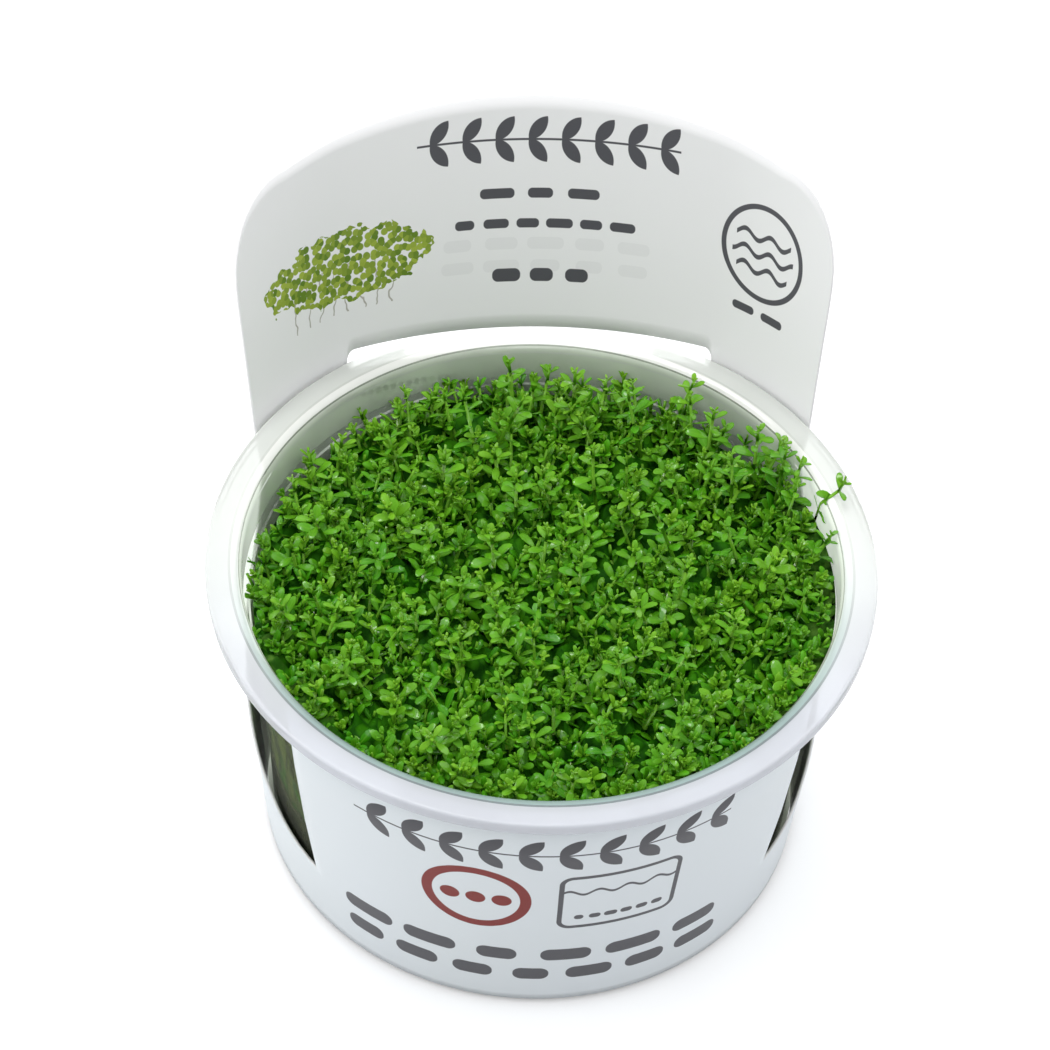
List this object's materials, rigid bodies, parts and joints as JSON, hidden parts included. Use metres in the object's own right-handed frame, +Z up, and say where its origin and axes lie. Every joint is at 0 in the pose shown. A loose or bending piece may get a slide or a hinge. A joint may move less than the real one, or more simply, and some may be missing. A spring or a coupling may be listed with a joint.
{
  "type": "dwarf baby tears in a growing tub",
  "caption": "Clear flanged tub packed with small-leaved green aquarium plants on growing gel, in a white die-cut card label that stands up behind as a domed panel.",
  "frame": {"origin": "centre of the cup's flat foot, on the surface that it stands on", "axes": "+Z up along the cup's axis, +Y to the back, where the label's panel stands, +X to the right seen from the front"},
  "size_m": [0.095, 0.1053, 0.0878],
  "materials": {
    "clear_plastic": "gloss",
    "white_card": "satin",
    "growing_gel": "gloss",
    "leaf_mat": "satin",
    "fresh_leaf": "satin"
  },
  "bodies": {
    "root": {"cup": "clear_plastic", "label": "white_card", "growing_gel": "growing_gel", "plant_mat": "leaf_mat", "shoot_01": "fresh_leaf", "shoot_02": "fresh_leaf", "shoot_03": "fresh_leaf", "shoot_04": "fresh_leaf", "shoot_05": "fresh_leaf", "shoot_06": "fresh_leaf", "shoot_07": "fresh_leaf", "shoot_08": "fresh_leaf", "shoot_09": "fresh_leaf", "shoot_10": "fresh_leaf", "shoot_11": "fresh_leaf", "shoot_12": "fresh_leaf", "shoot_13": "fresh_leaf", "shoot_14": "fresh_leaf", "shoot_15": "fresh_leaf", "shoot_16": "fresh_leaf", "shoot_17": "fresh_leaf", "shoot_18": "fresh_leaf", "shoot_19": "fresh_leaf", "shoot_20": "fresh_leaf", "shoot_21": "fresh_leaf", "shoot_22": "fresh_leaf", "shoot_23": "fresh_leaf", "shoot_24": "fresh_leaf", "shoot_25": "fresh_leaf", "shoot_26": "fresh_leaf", "shoot_27": "fresh_leaf", "shoot_28": "fresh_leaf", "shoot_29": "fresh_leaf", "shoot_30": "fresh_leaf", "shoot_31": "fresh_leaf", "shoot_32": "fresh_leaf", "shoot_33": "fresh_leaf", "shoot_34": "fresh_leaf", "shoot_35": "fresh_leaf", "shoot_36": "fresh_leaf", "shoot_37": "fresh_leaf", "shoot_38": "fresh_leaf"}
  },
  "joints": []
}
